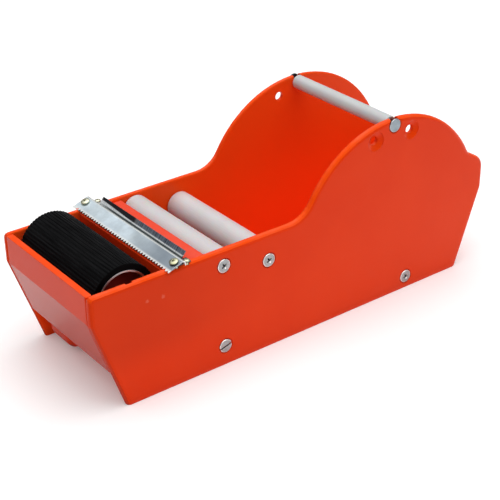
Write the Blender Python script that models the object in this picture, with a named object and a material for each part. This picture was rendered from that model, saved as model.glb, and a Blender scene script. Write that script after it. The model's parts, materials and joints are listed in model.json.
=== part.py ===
"""Desk dispenser for gummed paper tape: two side plates, a water tank with a wetting
roller, guide rollers, a tear blade and a bay for the tape roll.

Metres, +Z up. The tape leaves at the front, which faces -X, and Y runs across it.
The origin is on the table, under the middle of the body.
"""

from math import acos, atan2, cos, pi, radians, sin, sqrt, tan

import bmesh
import bpy
from mathutils import Vector

# Body and side plates
BODY_LENGTH = 0.3608
INNER_WIDTH = 0.108
PLATE_THICKNESS = 0.005
PLATE_OUTER_ROUND = 0.0033
PLATE_INNER_ROUND = 0.0014
PLATE_FOOT_CUT = 0.0016
PLATE_TOP_Z = 0.0932
FRONT_KNEE_Z = 0.0712
FRONT_FOOT_SETBACK = 0.0236
REAR_KNEE_Z = 0.0648
REAR_FOOT_SETBACK = 0.0233
FOOT_ROUND = 0.004
KNEE_ROUND = 0.006
TOP_CORNER_ROUND = 0.0036
HUMP_RADIUS = 0.091
HUMP_CENTRE_Z = 0.0577
HUMP_END_ANGLE = radians(26.9)
HUMP_FRONT_FILLET = 0.022
HUMP_REAR_FILLET = 0.008
SHOULDER_REACH = 0.007
SHOULDER_ROUND = 0.012
SHOULDER_SLOPE = radians(31)

# Fits
SEAT_GAP = 0.0003
CUT_OVERRUN = 0.004

# Sheet panels between the plates
PANEL_THICKNESS = 0.005
PANEL_EDGE_ROUND = 0.0012
PANEL_TOP_DROP = 0.0006
FRONT_PANEL_END_Z = 0.0284
TANK_FLOOR_RISE = 0.0012
TANK_FLOOR_THICKNESS = 0.004
DECK_DROP = 0.002
DECK_LENGTH = 0.0349
DECK_WALL_THICKNESS = 0.004
DECK_WALL_END_Z = 0.008
REAR_PANEL_TOP_Z = 0.082
REAR_PANEL_END_Z = 0.006
ROLL_FLOOR_THICKNESS = 0.006
ROLL_FLOOR_FRONT_SCREW_BACK = 0.0431
ROLL_FLOOR_FRONT_SCREW_Z = 0.0157
ROLL_FLOOR_REAR_SCREW_FROM_REAR = 0.0795
ROLL_FLOOR_REAR_SCREW_Z = 0.0103

# Well in the tank floor
WELL_SETBACK = 0.0052
WELL_REAR_GAP = 0.003
WELL_WIDTH = 0.0365
WELL_DEPTH = 0.0265
WELL_WALL = 0.003
WELL_ROUND = 0.008

# Wetting roller, which lifts out of the tank
WETTING_RADIUS = 0.0245
WETTING_FRONT_GAP = 0.0022
WETTING_REAR_GAP = 0.003
WETTING_AXIS_DROP = 0.0145
WETTING_END_GAP = 0.0055
WETTING_RIB_COUNT = 60
WETTING_GROOVE_DEPTH = 0.0008
WETTING_GROOVE_SHARE = 0.35
WETTING_SLEEVE_WALL = 0.0045
WETTING_TUBE_WALL = 0.0012
WETTING_TUBE_PROUD = 0.0003
WETTING_PLUG_RECESS = 0.007
WETTING_PLUG_THICKNESS = 0.006
WETTING_PLUG_HUB_RADIUS = 0.006
WETTING_PLUG_HUB_LENGTH = 0.003
WETTING_AXLE_RADIUS = 0.0023
AXLE_GROOVE_DEPTH = 0.0025

# Guide rollers and top roller
GUIDE_RADIUS = 0.0107
GUIDE_AXIS_DROP = 0.0124
GUIDE_DECK_GAP = 0.0031
GUIDE_SPACING = 0.0391
GUIDE_STEP_DOWN = 0.009
GUIDE_AXLE_RADIUS = 0.0047
TOP_ROLLER_RADIUS = 0.0055
TOP_ROLLER_DROP = 0.0053
TOP_AXLE_RADIUS = 0.0041
ROLLER_END_GAP = 0.0006
ROLLER_EDGE_ROUND = 0.0006
RUNNING_GAP = 0.0004
AXLE_SOCKET_DEPTH = 0.009

# Countersunk screws in the side plates
SCREW_HEAD_RADIUS = 0.0052
SCREW_HEAD_PROUD = 0.0003
SCREW_HEAD_RIM = 0.0006
SCREW_CONE_HEIGHT = 0.0018
SCREW_HEAD_CLEARANCE = 0.0008
ROLLER_SCREW_RADIUS = 0.0025
ROLLER_SCREW_REACH = 0.008
FLOOR_SCREW_RADIUS = 0.0015
FLOOR_SCREW_REACH = 0.012
TOP_NOTCH_HALF_WIDTH = 0.0034
SPARE_HOLE_FRONT_SPACING = 0.0184
SPARE_HOLE_REAR_SPACING = 0.0166
SPARE_HOLE_DROP = 0.008
SPARE_HOLE_RADIUS = 0.0035
SPARE_SINK_RADIUS = 0.0074

# Tear blade and tape guide
BLADE_THICKNESS = 0.0008
BLADE_FRONT_GAP = 0.0027
BLADE_LEAF_LENGTH = 0.0139
BLADE_TILT = radians(19)
BLADE_FLANGE_LEAN = radians(12)
BLADE_OVERHANG = 0.0026
TOOTH_PITCH = 0.00304
TOOTH_COUNT = 39
TOOTH_DEPTH = 0.0019
TOOTH_RIGHT_MARGIN = 0.0004
TOOTH_TIP_CUT = 0.0002
GUIDE_SHEET_THICKNESS = 0.0008
GUIDE_SHEET_SETBACK = 0.0034
GUIDE_SHEET_DEPTH = 0.0135
GUIDE_EAR_DEPTH = 0.0172
GUIDE_SHEET_INSET = 0.0006
LIP_HEIGHT = 0.0056
LIP_LEAN = radians(38)
LIP_END_GAP = 0.0018
SMALL_SCREW_RADIUS = 0.0011
BLADE_SCREW_HEAD_RADIUS = 0.0033
GUIDE_SCREW_HEAD_RADIUS = 0.0022
SMALL_SCREW_HEAD_HEIGHT = 0.0015
SMALL_SCREW_SHIFT = 0.0005
SMALL_SCREW_REACH = 0.009
BLADE_SCREW_SHARE = 0.63
GUIDE_SCREW_EDGE = 0.0024

# Facets
LARGE_ROUND_SIDES = 40
SMALL_ROUND_SIDES = 20
HUMP_STEPS = 30
FILLET_STEPS = 6
RIM_STEPS = 3

# Places worked out from the sizes above
FRONT_X = -BODY_LENGTH / 2
REAR_X = BODY_LENGTH / 2
HALF_INNER = INNER_WIDTH / 2
HALF_OUTER = HALF_INNER + PLATE_THICKNESS
HALF_PANEL = HALF_INNER - SEAT_GAP
PANEL_ROUNDS = (PANEL_EDGE_ROUND, PANEL_EDGE_ROUND)
SMALL_SCREW_Y = HALF_INNER + PLATE_THICKNESS / 2 + SMALL_SCREW_SHIFT
HUMP_X = REAR_X - SHOULDER_REACH - HUMP_RADIUS
FRONT_SLANT = atan2(FRONT_FOOT_SETBACK, FRONT_KNEE_Z)
REAR_SLANT = atan2(REAR_FOOT_SETBACK, REAR_KNEE_Z)
PANEL_FACE_X = FRONT_X + SEAT_GAP
WETTING_X = PANEL_FACE_X + PANEL_THICKNESS + WETTING_FRONT_GAP + WETTING_RADIUS
WETTING_Z = PLATE_TOP_Z - WETTING_AXIS_DROP
WETTING_TUBE_RADIUS = WETTING_RADIUS - WETTING_SLEEVE_WALL - SEAT_GAP
WALL_FRONT_X = WETTING_X + WETTING_RADIUS + WETTING_REAR_GAP
WALL_REAR_X = WALL_FRONT_X + DECK_WALL_THICKNESS
DECK_Z = PLATE_TOP_Z - DECK_DROP
DECK_UNDER_Z = DECK_Z - DECK_WALL_THICKNESS
DECK_REAR_X = WALL_FRONT_X + DECK_LENGTH
GUIDE_Z = PLATE_TOP_Z - GUIDE_AXIS_DROP
GUIDE_REACH = GUIDE_RADIUS + GUIDE_DECK_GAP
GUIDE_X = DECK_REAR_X + sqrt(GUIDE_REACH ** 2 - (DECK_UNDER_Z - GUIDE_Z) ** 2)
REAR_GUIDE_X = GUIDE_X + GUIDE_SPACING
REAR_GUIDE_Z = GUIDE_Z - GUIDE_STEP_DOWN
TOP_ROLLER_Z = HUMP_CENTRE_Z + HUMP_RADIUS - TOP_ROLLER_DROP
SPARE_HOLE_Z = TOP_ROLLER_Z - SPARE_HOLE_DROP
FLOOR_FRONT_SCREW_X = WALL_REAR_X + ROLL_FLOOR_FRONT_SCREW_BACK
FLOOR_REAR_SCREW_X = REAR_X - ROLL_FLOOR_REAR_SCREW_FROM_REAR
FLOOR_SCREW_PLACES = (
    (FLOOR_FRONT_SCREW_X, ROLL_FLOOR_FRONT_SCREW_Z),
    (FLOOR_REAR_SCREW_X, ROLL_FLOOR_REAR_SCREW_Z),
)
TANK_FLOOR_Z = FRONT_PANEL_END_Z + TANK_FLOOR_RISE
TANK_FLOOR_TOP_Z = TANK_FLOOR_Z + TANK_FLOOR_THICKNESS
ROLLER_HALF_LENGTH = HALF_INNER - ROLLER_END_GAP
SLEEVE_HALF_LENGTH = HALF_INNER - WETTING_END_GAP
GUIDE_SHEET_Z = PLATE_TOP_Z + SEAT_GAP
GUIDE_SHEET_TOP_Z = GUIDE_SHEET_Z + GUIDE_SHEET_THICKNESS
BLADE_FRONT_X = WETTING_X + WETTING_RADIUS + BLADE_FRONT_GAP
GUIDE_SHEET_X = BLADE_FRONT_X + GUIDE_SHEET_SETBACK
GUIDE_SCREW_X = GUIDE_SHEET_X + GUIDE_EAR_DEPTH - GUIDE_SCREW_EDGE
BLADE_Z = PLATE_TOP_Z + SEAT_GAP
BLADE_FOOT_Z = GUIDE_SHEET_TOP_Z + SEAT_GAP
HALF_BLADE = HALF_OUTER + BLADE_OVERHANG
HALF_GUIDE_SHEET = HALF_OUTER - GUIDE_SHEET_INSET


def clear_scene():
    """Empties the file of objects."""
    for thing in list(bpy.data.objects):
        bpy.data.objects.remove(thing, do_unlink=True)


def make_material(name, colour, roughness, metallic):
    """A plain surface of one colour."""
    material = bpy.data.materials.new(name)
    material.use_nodes = True
    shader = material.node_tree.nodes["Principled BSDF"]
    shader.inputs["Base Color"].default_value = (*colour, 1)
    shader.inputs["Roughness"].default_value = roughness
    shader.inputs["Metallic"].default_value = metallic
    material.diffuse_color = (*colour, 1)
    return material


def object_from(name, shape, material, location, rotation):
    """Links a closed mesh into the scene with its faces pointing out."""
    bmesh.ops.recalc_face_normals(shape, faces=shape.faces)
    mesh = bpy.data.meshes.new(name)
    shape.to_mesh(mesh)
    shape.free()
    if material:
        mesh.materials.append(material)
    thing = bpy.data.objects.new(name, mesh)
    thing.location = location
    thing.rotation_euler = rotation
    bpy.context.collection.objects.link(thing)
    smooth(thing)
    return thing


def smooth(thing):
    """Shades round stretches smooth and keeps corners sharp."""
    thing.data.shade_smooth()
    thing.data.set_sharp_from_angle(angle=radians(35))


def rim_edges(ring):
    """The edges that join each corner of a ring to the next one."""
    edges = []
    for index, corner in enumerate(ring):
        after = ring[(index + 1) % len(ring)]
        edges.extend(edge for edge in corner.link_edges if edge.other_vert(corner) is after)
    return edges


def prism(name, outline, low, high, material=None, rounds=(0, 0), upward=False):
    """Pushes an outline along Y, or along Z if upward, and rounds its low and high rim."""
    shape = bmesh.new()
    if upward:
        ends = [[shape.verts.new((x, y, at)) for x, y in outline] for at in (low, high)]
    else:
        ends = [[shape.verts.new((x, at, z)) for x, z in outline] for at in (low, high)]
    for ring in ends:
        shape.faces.new(ring)
    for index in range(len(outline)):
        after = (index + 1) % len(outline)
        shape.faces.new((ends[0][index], ends[0][after], ends[1][after], ends[1][index]))
    bmesh.ops.recalc_face_normals(shape, faces=shape.faces)
    for ring, size in zip(ends, rounds):
        if size:
            bmesh.ops.bevel(
                shape, geom=rim_edges(ring), offset=size, segments=RIM_STEPS,
                profile=0.5, affect="EDGES", clamp_overlap=True,
            )
    return object_from(name, shape, material, (0, 0, 0), (0, 0, 0))


def turned(name, profile, location, material=None, sides=LARGE_ROUND_SIDES, rotation=(0, 0, 0)):
    """Turns a profile of (radius, along) points round the Y axis.

    A profile that starts and ends on the axis is solid, any other one is a ring.
    """
    shape = bmesh.new()
    rings = []
    for radius, along in profile:
        count = sides if radius else 1
        angles = [2 * pi * index / count for index in range(count)]
        rings.append([shape.verts.new((radius * cos(a), along, radius * sin(a))) for a in angles])
    following = rings[1:] if len(rings[0]) == 1 else rings[1:] + rings[:1]
    for first, second in zip(rings, following):
        for index in range(sides):
            after = (index + 1) % sides
            corners = [first[index % len(first)], first[after % len(first)]]
            corners += [second[after % len(second)], second[index % len(second)]]
            shape.faces.new(list(dict.fromkeys(corners)))
    return object_from(name, shape, material, location, rotation)


def combine(thing, others, operation):
    """Adds or cuts away other solids with exact Booleans, then removes those solids."""
    for other in others:
        modifier = thing.modifiers.new(other.name, "BOOLEAN")
        modifier.operation = operation
        modifier.solver = "EXACT"
        modifier.object = other
    bpy.context.view_layer.update()
    graph = bpy.context.evaluated_depsgraph_get()
    mesh = bpy.data.meshes.new_from_object(thing.evaluated_get(graph))
    thing.modifiers.clear()
    thing.data = mesh
    for other in others:
        bpy.data.objects.remove(other, do_unlink=True)
    smooth(thing)


def arc(centre, radius, start, end, steps):
    """Points from one angle to another round a centre."""
    angles = [start + (end - start) * index / steps for index in range(steps + 1)]
    return [(centre[0] + radius * cos(a), centre[1] + radius * sin(a)) for a in angles]


def rounded_corner(before, corner, after, radius, steps=FILLET_STEPS):
    """The arc that rounds a corner between two straight runs."""
    here = Vector(corner)
    back = (Vector(before) - here).normalized()
    ahead = (Vector(after) - here).normalized()
    half_angle = acos(max(-1, min(1, back.dot(ahead)))) / 2
    centre = here + (back + ahead).normalized() * (radius / sin(half_angle))
    first = here + back * (radius / tan(half_angle)) - centre
    last = here + ahead * (radius / tan(half_angle)) - centre
    start = atan2(first.y, first.x)
    turn = (atan2(last.y, last.x) - start + pi) % (2 * pi) - pi
    return arc(centre, radius, start, start + turn, steps)


def bent_strip(points, thickness):
    """Outline of a sheet that follows a line and lies on the line's right-hand side."""
    line = [Vector(point) for point in points]
    normals = []
    for first, second in zip(line, line[1:]):
        run = (second - first).normalized()
        normals.append(Vector((run.y, -run.x)))
    inner = [line[0] + normals[0] * thickness]
    for corner, first, second in zip(line[1:], normals, normals[1:]):
        middle = (first + second).normalized()
        inner.append(corner + middle * (thickness / middle.dot(first)))
    inner.append(line[-1] + normals[-1] * thickness)
    return [tuple(point) for point in line + inner[::-1]]


def front_slant_x(height):
    """Where the slanted front edge of the plates lies at a height below the knee."""
    return FRONT_X + (FRONT_KNEE_Z - height) * tan(FRONT_SLANT)


def rear_slant_x(height):
    """Where the slanted rear edge of the plates lies at a height below the knee."""
    return REAR_X - (REAR_KNEE_Z - height) * tan(REAR_SLANT)


def plate_outline():
    """Side view of a plate: slanted ends, a level top, a round hump and a shoulder.

    It reaches below the table by a strip that is cut away to leave a flat foot.
    """
    front_foot = (front_slant_x(-PLATE_FOOT_CUT), -PLATE_FOOT_CUT)
    front_knee = (FRONT_X, FRONT_KNEE_Z)
    front_top = (FRONT_X, PLATE_TOP_Z)
    rear_foot = (rear_slant_x(-PLATE_FOOT_CUT), -PLATE_FOOT_CUT)
    rear_knee = (REAR_X, REAR_KNEE_Z)
    hump = Vector((HUMP_X, HUMP_CENTRE_Z))
    hump_end = hump + Vector((cos(HUMP_END_ANGLE), sin(HUMP_END_ANGLE))) * HUMP_RADIUS
    shoulder = Vector((REAR_X, hump_end.y - (REAR_X - hump_end.x) * tan(SHOULDER_SLOPE)))

    reach = HUMP_RADIUS + HUMP_FRONT_FILLET
    rise = PLATE_TOP_Z + HUMP_FRONT_FILLET - HUMP_CENTRE_Z
    front_hollow = hump + Vector((-sqrt(reach ** 2 - rise ** 2), rise))
    front_angle = pi - atan2(rise, hump.x - front_hollow.x)

    slope = Vector((-cos(SHOULDER_SLOPE), sin(SHOULDER_SLOPE)))
    clear_of_slope = Vector((sin(SHOULDER_SLOPE), cos(SHOULDER_SLOPE))) * HUMP_REAR_FILLET
    offset = shoulder + clear_of_slope - hump
    along = offset.dot(slope)
    reach = HUMP_RADIUS + HUMP_REAR_FILLET
    travel = -along - sqrt(along ** 2 - offset.dot(offset) + reach ** 2)
    rear_hollow = hump + offset + slope * travel
    rear_angle = atan2(rear_hollow.y - hump.y, rear_hollow.x - hump.x)
    slope_end = shoulder + slope * travel

    outline = rounded_corner(rear_foot, front_foot, front_knee, FOOT_ROUND)
    outline += rounded_corner(front_foot, front_knee, front_top, KNEE_ROUND, 3)
    outline += rounded_corner(front_knee, front_top, (HUMP_X, PLATE_TOP_Z), TOP_CORNER_ROUND, 3)
    outline += arc(front_hollow, HUMP_FRONT_FILLET, -pi / 2, front_angle - pi, FILLET_STEPS)[:-1]
    outline += arc(hump, HUMP_RADIUS, front_angle, rear_angle, HUMP_STEPS)
    rear_sweep = (rear_angle + pi, 3 * pi / 2 - SHOULDER_SLOPE)
    outline += arc(rear_hollow, HUMP_REAR_FILLET, *rear_sweep, FILLET_STEPS)[1:]
    outline += rounded_corner(slope_end, shoulder, rear_knee, SHOULDER_ROUND)
    outline += rounded_corner(shoulder, rear_knee, rear_foot, KNEE_ROUND, 3)
    outline += rounded_corner(rear_knee, rear_foot, front_foot, FOOT_ROUND)
    return outline


def outward(side):
    """Rotation that turns a piece made for the +Y side to face its own side."""
    return (0, 0, 0) if side > 0 else (0, 0, pi)


def countersink(x, z, side, hole_radius, head_hole=SCREW_HEAD_RADIUS + SCREW_HEAD_CLEARANCE):
    """Cutter for a screw hole in a side plate, wide at the outer face."""
    cone_top = SCREW_HEAD_PROUD - SCREW_HEAD_RIM - SEAT_GAP
    cone_foot = cone_top - SCREW_CONE_HEIGHT
    profile = [
        (0, CUT_OVERRUN), (head_hole, CUT_OVERRUN), (head_hole, cone_top), (hole_radius, cone_foot),
        (hole_radius, -PLATE_THICKNESS - CUT_OVERRUN), (0, -PLATE_THICKNESS - CUT_OVERRUN),
    ]
    place = (x, side * HALF_OUTER, z)
    return turned("countersink", profile, place, None, SMALL_ROUND_SIDES, outward(side))


def side_screw(name, x, z, side, radius, reach, material):
    """Countersunk screw through a side plate into an axle or a panel edge."""
    rim = SCREW_HEAD_PROUD - SCREW_HEAD_RIM
    end = -PLATE_THICKNESS - reach
    profile = [
        (0, SCREW_HEAD_PROUD), (SCREW_HEAD_RADIUS, SCREW_HEAD_PROUD), (SCREW_HEAD_RADIUS, rim),
        (radius, rim - SCREW_CONE_HEIGHT), (radius, end), (0, end),
    ]
    return turned(name, profile, (x, side * HALF_OUTER, z), material, SMALL_ROUND_SIDES, outward(side))


def top_notch(side):
    """Cutter for the slot that opens upward over the top roller's screw."""
    top = HUMP_CENTRE_Z + HUMP_RADIUS + CUT_OVERRUN
    outline = arc((HUMP_X, TOP_ROLLER_Z), TOP_NOTCH_HALF_WIDTH, pi, 2 * pi, FILLET_STEPS)
    outline += [(HUMP_X + TOP_NOTCH_HALF_WIDTH, top), (HUMP_X - TOP_NOTCH_HALF_WIDTH, top)]
    ends = sorted((side * (HALF_INNER - CUT_OVERRUN), side * (HALF_OUTER + CUT_OVERRUN)))
    return prism("notch", outline, *ends)


def axle_groove(side):
    """Cutter for the blind groove, open at the top, that the wetting roller's axle drops into."""
    half = WETTING_AXLE_RADIUS + SEAT_GAP
    top = PLATE_TOP_Z + CUT_OVERRUN
    outline = arc((WETTING_X, WETTING_Z), half, pi, 2 * pi, FILLET_STEPS)
    outline += [(WETTING_X + half, top), (WETTING_X - half, top)]
    ends = sorted((side * (HALF_INNER - CUT_OVERRUN), side * (HALF_INNER + AXLE_GROOVE_DEPTH)))
    return prism("groove", outline, *ends)


def below_table(side):
    """Cutter that takes the strip below the table off a plate."""
    deep = PLATE_FOOT_CUT + CUT_OVERRUN
    outline = [(FRONT_X, -deep), (REAR_X, -deep), (REAR_X, 0), (FRONT_X, 0)]
    ends = sorted((side * (HALF_INNER - CUT_OVERRUN), side * (HALF_OUTER + CUT_OVERRUN)))
    return prism("below_table", outline, *ends)


def side_plate(name, side, material):
    """One side plate with its screw holes, notch, groove and edge holes for the blade."""
    ends = sorted((side * HALF_INNER, side * HALF_OUTER))
    rounds = (PLATE_INNER_ROUND, PLATE_OUTER_ROUND)[::side]
    plate = prism(name, plate_outline(), *ends, material, rounds)
    roller_hole = ROLLER_SCREW_RADIUS + SEAT_GAP
    floor_hole = FLOOR_SCREW_RADIUS + SEAT_GAP
    spare_hole = (SPARE_HOLE_RADIUS, SPARE_SINK_RADIUS)
    cutters = [
        countersink(GUIDE_X, GUIDE_Z, side, roller_hole),
        countersink(REAR_GUIDE_X, REAR_GUIDE_Z, side, roller_hole),
        countersink(HUMP_X, TOP_ROLLER_Z, side, roller_hole),
        countersink(HUMP_X - SPARE_HOLE_FRONT_SPACING, SPARE_HOLE_Z, side, *spare_hole),
        countersink(HUMP_X + SPARE_HOLE_REAR_SPACING, SPARE_HOLE_Z, side, *spare_hole),
        countersink(FLOOR_FRONT_SCREW_X, ROLL_FLOOR_FRONT_SCREW_Z, side, floor_hole),
        countersink(FLOOR_REAR_SCREW_X, ROLL_FLOOR_REAR_SCREW_Z, side, floor_hole),
        top_notch(side),
        axle_groove(side),
        below_table(side),
        small_hole(blade_screw_place(side), BLADE_TILT),
        small_hole(guide_screw_place(side), 0),
    ]
    combine(plate, cutters, "DIFFERENCE")
    return plate


def front_panel(material):
    """Front wall of the tank, upright at the top and slanted below the knee."""
    top = PLATE_TOP_Z - PANEL_TOP_DROP
    end = (front_slant_x(FRONT_PANEL_END_Z) + SEAT_GAP, FRONT_PANEL_END_Z)
    line = [end, (PANEL_FACE_X, FRONT_KNEE_Z), (PANEL_FACE_X, top)]
    outline = bent_strip(line, PANEL_THICKNESS)
    return prism("front_panel", outline, -HALF_PANEL, HALF_PANEL, material, PANEL_ROUNDS)


def tank_floor(material):
    """Floor of the water tank, with a deeper rounded well at its left end."""
    lean = PANEL_THICKNESS / cos(FRONT_SLANT) + SEAT_GAP * 2
    low_x = front_slant_x(TANK_FLOOR_Z) + lean
    high_x = front_slant_x(TANK_FLOOR_TOP_Z) + lean
    rear_x = WALL_FRONT_X - SEAT_GAP
    outline = [
        (low_x, TANK_FLOOR_Z), (rear_x, TANK_FLOOR_Z),
        (rear_x, TANK_FLOOR_TOP_Z), (high_x, TANK_FLOOR_TOP_Z),
    ]
    floor = prism("tank_floor", outline, -HALF_PANEL, HALF_PANEL, material)

    well_x = low_x + WELL_SETBACK
    outer = rounded_box("well", well_x, HALF_PANEL - WELL_WIDTH, 0, material)
    inner = rounded_box("well_hollow", well_x, HALF_PANEL - WELL_WIDTH, WELL_WALL, None)
    combine(floor, [outer], "UNION")
    combine(floor, [inner], "DIFFERENCE")
    return floor


def rounded_box(name, x, y, wall, material):
    """The well as a block with rounded lower edges, or its hollow, smaller by the wall."""
    radius = WELL_ROUND - wall
    low = TANK_FLOOR_Z - WELL_DEPTH + wall
    high = TANK_FLOOR_TOP_Z - SEAT_GAP if wall == 0 else TANK_FLOOR_TOP_Z + CUT_OVERRUN
    near, far = y + wall, HALF_PANEL - wall
    rear = WALL_FRONT_X - WELL_REAR_GAP - wall
    corners = [(x + wall, near), (rear, near), (rear, far), (x + wall, far)]
    shape = bmesh.new()
    rings = [[shape.verts.new((*corner, level)) for corner in corners] for level in (low, high)]
    for ring in rings:
        shape.faces.new(ring)
    for index in range(4):
        after = (index + 1) % 4
        shape.faces.new((rings[0][index], rings[0][after], rings[1][after], rings[1][index]))
    bmesh.ops.recalc_face_normals(shape, faces=shape.faces)
    edges = [edge for edge in shape.edges if not all(vertex in rings[1] for vertex in edge.verts)]
    bmesh.ops.bevel(
        shape, geom=edges, offset=radius, segments=4, profile=0.5, affect="EDGES", clamp_overlap=True,
    )
    return object_from(name, shape, material, (0, 0, 0), (0, 0, 0))


def deck_wall(material):
    """Rear wall of the tank, bent over at the top into the deck that the tape slides on."""
    line = [(WALL_FRONT_X, DECK_WALL_END_Z), (WALL_FRONT_X, DECK_Z), (DECK_REAR_X, DECK_Z)]
    outline = bent_strip(line, DECK_WALL_THICKNESS)
    return prism("deck_wall", outline, -HALF_PANEL, HALF_PANEL, material, PANEL_ROUNDS)


def rear_panel(material):
    """Rear wall of the roll bay, slanted like the plates' rear edge."""
    end = (rear_slant_x(REAR_PANEL_END_Z) - SEAT_GAP, REAR_PANEL_END_Z)
    line = [(REAR_X - SEAT_GAP, REAR_PANEL_TOP_Z), (REAR_X - SEAT_GAP, REAR_KNEE_Z), end]
    outline = bent_strip(line, PANEL_THICKNESS)
    return prism("rear_panel", outline, -HALF_PANEL, HALF_PANEL, material, PANEL_ROUNDS)


def floor_middle_z(x):
    """Height of the middle of the sloping bay floor."""
    drop = ROLL_FLOOR_FRONT_SCREW_Z - ROLL_FLOOR_REAR_SCREW_Z
    share = (x - FLOOR_FRONT_SCREW_X) / (FLOOR_REAR_SCREW_X - FLOOR_FRONT_SCREW_X)
    return ROLL_FLOOR_FRONT_SCREW_Z - drop * share


def roll_floor(material):
    """Sloping floor of the roll bay, screwed through the side plates at its edges."""
    half = ROLL_FLOOR_THICKNESS / 2
    front = WALL_REAR_X + SEAT_GAP
    lean = PANEL_THICKNESS / cos(REAR_SLANT) + SEAT_GAP * 2
    rear_low = rear_slant_x(floor_middle_z(REAR_X) - half) - lean
    rear_high = rear_slant_x(floor_middle_z(REAR_X) + half) - lean
    outline = [
        (front, floor_middle_z(front) - half), (rear_low, floor_middle_z(rear_low) - half),
        (rear_high, floor_middle_z(rear_high) + half), (front, floor_middle_z(front) + half),
    ]
    floor = prism("roll_floor", outline, -HALF_PANEL, HALF_PANEL, material, PANEL_ROUNDS)
    radius = FLOOR_SCREW_RADIUS + SEAT_GAP
    sockets = []
    for x, z in FLOOR_SCREW_PLACES:
        for side in (-1, 1):
            sockets.append(socket((x, side * HALF_PANEL, z), radius, FLOOR_SCREW_REACH + SEAT_GAP))
    combine(floor, sockets, "DIFFERENCE")
    return floor


def socket(place, radius, depth):
    """Cutter for a blind round hole that runs inward along Y from both sides of its mouth."""
    profile = [(0, -depth), (radius, -depth), (radius, depth), (0, depth)]
    return turned("socket", profile, place, None, SMALL_ROUND_SIDES)


def axle(name, x, z, radius, material):
    """Fixed rod between the plates with a socket in each end for its screw."""
    hole = ROLLER_SCREW_RADIUS + SEAT_GAP
    profile = [
        (0, AXLE_SOCKET_DEPTH - HALF_PANEL), (hole, AXLE_SOCKET_DEPTH - HALF_PANEL), (hole, -HALF_PANEL),
        (radius, -HALF_PANEL), (radius, HALF_PANEL), (hole, HALF_PANEL),
        (hole, HALF_PANEL - AXLE_SOCKET_DEPTH), (0, HALF_PANEL - AXLE_SOCKET_DEPTH),
    ]
    return turned(name, profile, (x, 0, z), material, SMALL_ROUND_SIDES)


def plain_roller(name, x, z, radius, axle_radius, material):
    """Tube that turns freely on its axle, with eased ends."""
    bore = axle_radius + RUNNING_GAP
    end = ROLLER_HALF_LENGTH
    ease = ROLLER_EDGE_ROUND
    profile = [
        (bore, -end), (radius - ease, -end), (radius, ease - end),
        (radius, end - ease), (radius - ease, end), (bore, end),
    ]
    return turned(name, profile, (x, 0, z), material)


def wetting_sleeve(material):
    """Rubber sleeve with fine ribs that run along the roller."""
    rib_angle = 2 * pi / WETTING_RIB_COUNT
    groove_angle = rib_angle * WETTING_GROOVE_SHARE
    points = []
    for index in range(WETTING_RIB_COUNT):
        start = index * rib_angle
        points.append((WETTING_RADIUS, start))
        points.append((WETTING_RADIUS, start + rib_angle - groove_angle))
        points.append((WETTING_RADIUS - WETTING_GROOVE_DEPTH, start + rib_angle - groove_angle / 2))
    bore = WETTING_TUBE_RADIUS + SEAT_GAP
    shape = bmesh.new()
    rings = []
    for along in (-SLEEVE_HALF_LENGTH, SLEEVE_HALF_LENGTH):
        rings.append([shape.verts.new((r * cos(a), along, r * sin(a))) for r, a in points])
    for along in (SLEEVE_HALF_LENGTH, -SLEEVE_HALF_LENGTH):
        rings.append([shape.verts.new((bore * cos(a), along, bore * sin(a))) for r, a in points])
    for first, second in zip(rings, rings[1:] + rings[:1]):
        for index in range(len(points)):
            after = (index + 1) % len(points)
            shape.faces.new((first[index], first[after], second[after], second[index]))
    return object_from("wetting_sleeve", shape, material, (WETTING_X, 0, WETTING_Z), (0, 0, 0))


def wetting_tube(material):
    """Metal tube inside the sleeve, a little longer than it."""
    end = SLEEVE_HALF_LENGTH + WETTING_TUBE_PROUD
    inner = WETTING_TUBE_RADIUS - WETTING_TUBE_WALL
    profile = [(inner, -end), (WETTING_TUBE_RADIUS, -end), (WETTING_TUBE_RADIUS, end), (inner, end)]
    return turned("wetting_tube", profile, (WETTING_X, 0, WETTING_Z), material)


def wetting_plug(name, side, material):
    """End plug set back inside the tube, with a hub that turns on the axle."""
    radius = WETTING_TUBE_RADIUS - WETTING_TUBE_WALL - SEAT_GAP
    bore = WETTING_AXLE_RADIUS + RUNNING_GAP
    face = SLEEVE_HALF_LENGTH - WETTING_PLUG_RECESS
    back = face - WETTING_PLUG_THICKNESS
    nose = face + WETTING_PLUG_HUB_LENGTH
    profile = [
        (bore, back), (radius, back), (radius, face), (WETTING_PLUG_HUB_RADIUS, face),
        (WETTING_PLUG_HUB_RADIUS, nose), (bore, nose),
    ]
    return turned(name, profile, (WETTING_X, 0, WETTING_Z), material, LARGE_ROUND_SIDES, outward(side))


def wetting_axle(material):
    """Rod whose ends stand in the grooves of the side plates."""
    end = HALF_INNER + AXLE_GROOVE_DEPTH - SEAT_GAP
    profile = [(0, -end), (WETTING_AXLE_RADIUS, -end), (WETTING_AXLE_RADIUS, end), (0, end)]
    return turned("wetting_axle", profile, (WETTING_X, 0, WETTING_Z), material, SMALL_ROUND_SIDES)


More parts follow.
